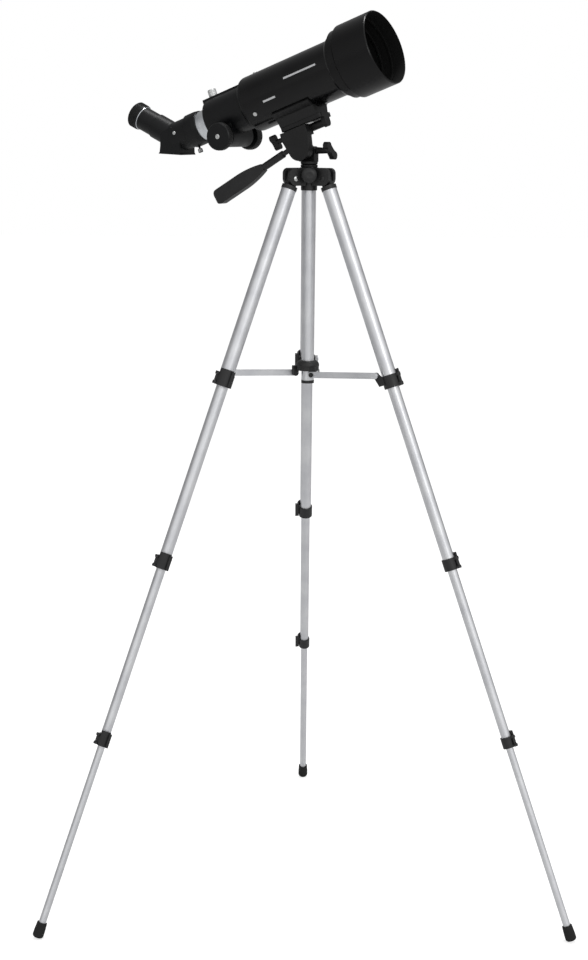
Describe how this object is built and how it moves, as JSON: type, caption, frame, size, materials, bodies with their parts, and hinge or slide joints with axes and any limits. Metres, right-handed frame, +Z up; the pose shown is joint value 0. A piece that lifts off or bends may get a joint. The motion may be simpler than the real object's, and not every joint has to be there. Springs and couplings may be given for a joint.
{
  "type": "telescope on tripod",
  "caption": "Small refracting telescope with an angled eyepiece on a folding aluminium tripod with a pan and tilt head, telescoping legs and a spreader.",
  "frame": {"origin": "on the floor under the middle of the whole object", "axes": "+Z up; the rear leg points along +Y, the other two stand to the left (-X) and right (+X) in front; the telescope points along +X and a little towards -Y, raised"},
  "size_m": [0.7326, 0.6364, 1.2252],
  "materials": {
    "satin_aluminium": "satin anodised, drawn",
    "pressed_aluminium": "pressed strip, satin",
    "black_nylon": "moulded, fine grain",
    "foot_rubber": "matte",
    "handle_grip": "moulded, soft sheen",
    "zinc_steel": "bright zinc",
    "gloss_black_enamel": "gloss",
    "satin_black_plastic": "satin moulded",
    "coated_glass": "coated, clear",
    "bright_aluminium": "bright"
  },
  "bodies": {
    "root": {"leg_spider": "black_nylon", "column_guide_tube": "satin_aluminium"},
    "left_leg_upper": {"left_leg_fittings": "black_nylon", "left_leg_tube_1": "satin_aluminium"},
    "left_leg_section_2": {"left_leg_tube_2": "satin_aluminium", "left_leg_lock_2": "black_nylon"},
    "left_leg_section_3": {"left_leg_tube_3": "satin_aluminium", "left_leg_lock_3": "black_nylon"},
    "left_leg_section_4": {"left_leg_tube_4": "satin_aluminium", "left_foot": "foot_rubber"},
    "left_lever_1": {"left_lock_lever_1": "black_nylon"},
    "left_lever_2": {"left_lock_lever_2": "black_nylon"},
    "left_lever_3": {"left_lock_lever_3": "black_nylon"},
    "right_leg_upper": {"right_leg_fittings": "black_nylon", "right_leg_tube_1": "satin_aluminium"},
    "right_leg_section_2": {"right_leg_tube_2": "satin_aluminium", "right_leg_lock_2": "black_nylon"},
    "right_leg_section_3": {"right_leg_tube_3": "satin_aluminium", "right_leg_lock_3": "black_nylon"},
    "right_leg_section_4": {"right_leg_tube_4": "satin_aluminium", "right_foot": "foot_rubber"},
    "right_lever_1": {"right_lock_lever_1": "black_nylon"},
    "right_lever_2": {"right_lock_lever_2": "black_nylon"},
    "right_lever_3": {"right_lock_lever_3": "black_nylon"},
    "rear_leg_upper": {"rear_leg_fittings": "black_nylon", "rear_leg_tube_1": "satin_aluminium"},
    "rear_leg_section_2": {"rear_leg_tube_2": "satin_aluminium", "rear_leg_lock_2": "black_nylon"},
    "rear_leg_section_3": {"rear_leg_tube_3": "satin_aluminium", "rear_leg_lock_3": "black_nylon"},
    "rear_leg_section_4": {"rear_leg_tube_4": "satin_aluminium", "rear_foot": "foot_rubber"},
    "rear_lever_1": {"rear_lock_lever_1": "black_nylon"},
    "rear_lever_2": {"rear_lock_lever_2": "black_nylon"},
    "rear_lever_3": {"rear_lock_lever_3": "black_nylon"},
    "spreader_hub": {"spreader_hub": "black_nylon"},
    "left_spreader_arm": {"left_spreader_arm": "pressed_aluminium"},
    "right_spreader_arm": {"right_spreader_arm": "pressed_aluminium"},
    "rear_spreader_arm": {"rear_spreader_arm": "pressed_aluminium"},
    "column": {"centre_column": "satin_aluminium", "pan_base": "black_nylon"},
    "column_knob": {"column_lock_knob": "black_nylon"},
    "pan_head": {"pan_housing": "black_nylon"},
    "pan_knob": {"pan_lock_knob": "black_nylon"},
    "tilt_head": {"tilt_body": "black_nylon"},
    "handle": {"pan_handle": "handle_grip"},
    "side_knob": {"side_tilt_knob": "black_nylon"},
    "telescope": {"platform": "black_nylon", "mount_bracket": "black_nylon", "optical_tube": "gloss_black_enamel", "lens_hood": "satin_black_plastic", "objective_lens": "coated_glass", "focuser_housing": "satin_black_plastic", "silver_screws": "zinc_steel"},
    "tripod_screw": {"mount_screw": "zinc_steel"},
    "focus_tube": {"drawtube": "bright_aluminium", "visual_back": "satin_black_plastic"},
    "focus_shaft": {"focus_knobs": "satin_black_plastic"},
    "star_diagonal": {"diagonal": "satin_black_plastic"},
    "ocular": {"eyepiece": "satin_black_plastic"}
  },
  "joints": [
    {"name": "left_leg_fold", "type": "hinge", "parent": "root", "child": "left_leg_upper", "pos_m": [-0.02252, -0.11654, 1.00695], "axis": [0.5, -0.866, 0], "range_deg": [0, 21.2]},
    {"name": "left_section_2_slide", "type": "slide", "parent": "left_leg_upper", "child": "left_leg_section_2", "axis": [0.3132, 0.1808, 0.9323], "range_m": [0, 0.235]},
    {"name": "left_lever_1_flip", "type": "hinge", "parent": "left_leg_upper", "child": "left_lever_1", "pos_m": [-0.1229, -0.1745, 0.74516], "axis": [-0.3132, -0.1808, -0.9323], "range_deg": [0, 110]},
    {"name": "left_section_3_slide", "type": "slide", "parent": "left_leg_section_2", "child": "left_leg_section_3", "axis": [0.3132, 0.1808, 0.9323], "range_m": [0, 0.229]},
    {"name": "left_lever_2_flip", "type": "hinge", "parent": "left_leg_section_2", "child": "left_lever_2", "pos_m": [-0.20256, -0.22049, 0.50303], "axis": [-0.3132, -0.1808, -0.9323], "range_deg": [0, 110]},
    {"name": "left_section_4_slide", "type": "slide", "parent": "left_leg_section_3", "child": "left_leg_section_4", "axis": [0.3132, 0.1808, 0.9323], "range_m": [0, 0.25]},
    {"name": "left_lever_3_flip", "type": "hinge", "parent": "left_leg_section_3", "child": "left_lever_3", "pos_m": [-0.28011, -0.26526, 0.26747], "axis": [-0.3132, -0.1808, -0.9323], "range_deg": [0, 110]},
    {"name": "right_leg_fold", "type": "hinge", "parent": "root", "child": "right_leg_upper", "pos_m": [0.02252, -0.11654, 1.00695], "axis": [0.5, 0.866, 0], "range_deg": [0, 21.2]},
    {"name": "right_section_2_slide", "type": "slide", "parent": "right_leg_upper", "child": "right_leg_section_2", "axis": [-0.3132, 0.1808, 0.9323], "range_m": [0, 0.235]},
    {"name": "right_lever_1_flip", "type": "hinge", "parent": "right_leg_upper", "child": "right_lever_1", "pos_m": [0.1229, -0.1745, 0.74516], "axis": [0.3132, -0.1808, -0.9323], "range_deg": [0, 110]},
    {"name": "right_section_3_slide", "type": "slide", "parent": "right_leg_section_2", "child": "right_leg_section_3", "axis": [-0.3132, 0.1808, 0.9323], "range_m": [0, 0.229]},
    {"name": "right_lever_2_flip", "type": "hinge", "parent": "right_leg_section_2", "child": "right_lever_2", "pos_m": [0.20256, -0.22049, 0.50303], "axis": [0.3132, -0.1808, -0.9323], "range_deg": [0, 110]},
    {"name": "right_section_4_slide", "type": "slide", "parent": "right_leg_section_3", "child": "right_leg_section_4", "axis": [-0.3132, 0.1808, 0.9323], "range_m": [0, 0.25]},
    {"name": "right_lever_3_flip", "type": "hinge", "parent": "right_leg_section_3", "child": "right_lever_3", "pos_m": [0.28011, -0.26526, 0.26747], "axis": [0.3132, -0.1808, -0.9323], "range_deg": [0, 110]},
    {"name": "rear_leg_fold", "type": "hinge", "parent": "root", "child": "rear_leg_upper", "pos_m": [0, -0.07754, 1.00695], "axis": [-1, 0, 0], "range_deg": [0, 21.2]},
    {"name": "rear_section_2_slide", "type": "slide", "parent": "rear_leg_upper", "child": "rear_leg_section_2", "axis": [0, -0.3616, 0.9323], "range_m": [0, 0.235]},
    {"name": "rear_lever_1_flip", "type": "hinge", "parent": "rear_leg_upper", "child": "rear_lever_1", "pos_m": [0, 0.03837, 0.74516], "axis": [0, 0.3616, -0.9323], "range_deg": [0, 110]},
    {"name": "rear_section_3_slide", "type": "slide", "parent": "rear_leg_section_2", "child": "rear_leg_section_3", "axis": [0, -0.3616, 0.9323], "range_m": [0, 0.229]},
    {"name": "rear_lever_2_flip", "type": "hinge", "parent": "rear_leg_section_2", "child": "rear_lever_2", "pos_m": [0, 0.13036, 0.50303], "axis": [0, 0.3616, -0.9323], "range_deg": [0, 110]},
    {"name": "rear_section_4_slide", "type": "slide", "parent": "rear_leg_section_3", "child": "rear_leg_section_4", "axis": [0, -0.3616, 0.9323], "range_m": [0, 0.25]},
    {"name": "rear_lever_3_flip", "type": "hinge", "parent": "rear_leg_section_3", "child": "rear_lever_3", "pos_m": [0, 0.2199, 0.26747], "axis": [0, 0.3616, -0.9323], "range_deg": [0, 110]},
    {"name": "spreader_slide", "type": "slide", "parent": "root", "child": "spreader_hub", "axis": [0, 0, 1], "range_m": [0, 0.09091]},
    {"name": "left_arm_swing", "type": "hinge", "parent": "spreader_hub", "child": "left_spreader_arm", "pos_m": [-0.01832, -0.0998, 0.74155], "axis": [0.5, -0.866, 0], "range_deg": [0, 94.57]},
    {"name": "right_arm_swing", "type": "hinge", "parent": "spreader_hub", "child": "right_spreader_arm", "pos_m": [0.00592, -0.12128, 0.74155], "axis": [0.5, 0.866, 0], "range_deg": [0, 94.57]},
    {"name": "rear_arm_swing", "type": "hinge", "parent": "spreader_hub", "child": "rear_spreader_arm", "pos_m": [0.0124, -0.08954, 0.74155], "axis": [-1, 0, 0], "range_deg": [0, 94.57]},
    {"name": "column_lift", "type": "slide", "parent": "root", "child": "column", "axis": [0, 0, 1], "range_m": [0, 0.22]},
    {"name": "column_knob_turn", "type": "hinge", "parent": "root", "child": "column_knob", "pos_m": [0, -0.10354, 1.01195], "axis": [0, -1, 0], "range_deg": [0, 180]},
    {"name": "pan", "type": "hinge", "parent": "column", "child": "pan_head", "pos_m": [0, -0.10354, 1.02645], "axis": [0, 0, 1], "continuous": true},
    {"name": "pan_knob_turn", "type": "hinge", "parent": "pan_head", "child": "pan_knob", "pos_m": [0.0095, -0.10211, 1.04395], "axis": [0.8652, -0.5015, 0], "range_deg": [0, 180]},
    {"name": "tilt", "type": "hinge", "parent": "pan_head", "child": "tilt_head", "pos_m": [-0.00519, -0.10053, 1.04595], "axis": [-0.5015, -0.8652, 0], "range_deg": [-20, 38]},
    {"name": "handle_twist", "type": "hinge", "parent": "tilt_head", "child": "handle", "pos_m": [-0.01942, -0.10385, 1.04937], "axis": [-0.7439, 0.4312, -0.5105], "range_deg": [0, 180]},
    {"name": "side_knob_turn", "type": "hinge", "parent": "tilt_head", "child": "side_knob", "pos_m": [-0.02906, -0.0867, 1.06059], "axis": [0.8114, -0.4704, 0.3469], "range_deg": [0, 180]},
    {"name": "side_tilt", "type": "hinge", "parent": "tilt_head", "child": "telescope", "pos_m": [0.018, -0.11398, 1.08071], "axis": [-0.8114, 0.4704, -0.3469], "range_deg": [0, 90]},
    {"name": "screw_turn", "type": "hinge", "parent": "telescope", "child": "tripod_screw", "pos_m": [-0.0018, -0.1025, 1.07918], "axis": [-0.3002, 0.174, 0.9379], "range_deg": [0, 180]},
    {"name": "focus_slide", "type": "slide", "parent": "telescope", "child": "focus_tube", "axis": [-0.8114, 0.4704, -0.3469], "range_m": [-0.012, 0.045]},
    {"name": "focus_turn", "type": "hinge", "parent": "telescope", "child": "focus_shaft", "pos_m": [-0.10217, -0.04432, 1.06132], "axis": [0.5015, 0.8652, 0], "range_deg": [-370, 99]},
    {"name": "diagonal_turn", "type": "hinge", "parent": "focus_tube", "child": "star_diagonal", "pos_m": [-0.1842, 0.00323, 1.05823], "axis": [0.8114, -0.4704, 0.3469], "continuous": true},
    {"name": "eyepiece_out", "type": "slide", "parent": "star_diagonal", "child": "ocular", "axis": [-0.786, 0.4556, 0.4179], "range_m": [0, 0.04]}
  ],
  "couplings": [
    {"joint": "right_leg_fold", "follows": "left_leg_fold", "ratio": 1},
    {"joint": "rear_leg_fold", "follows": "left_leg_fold", "ratio": 1},
    {"joint": "spreader_slide", "follows": "left_leg_fold", "m_per_rad": 0.24517},
    {"joint": "left_arm_swing", "follows": "left_leg_fold", "ratio": 4.4515},
    {"joint": "right_arm_swing", "follows": "left_leg_fold", "ratio": 4.4515},
    {"joint": "rear_arm_swing", "follows": "left_leg_fold", "ratio": 4.4515},
    {"joint": "focus_turn", "follows": "focus_slide", "rad_per_m": -142.86}
  ]
}
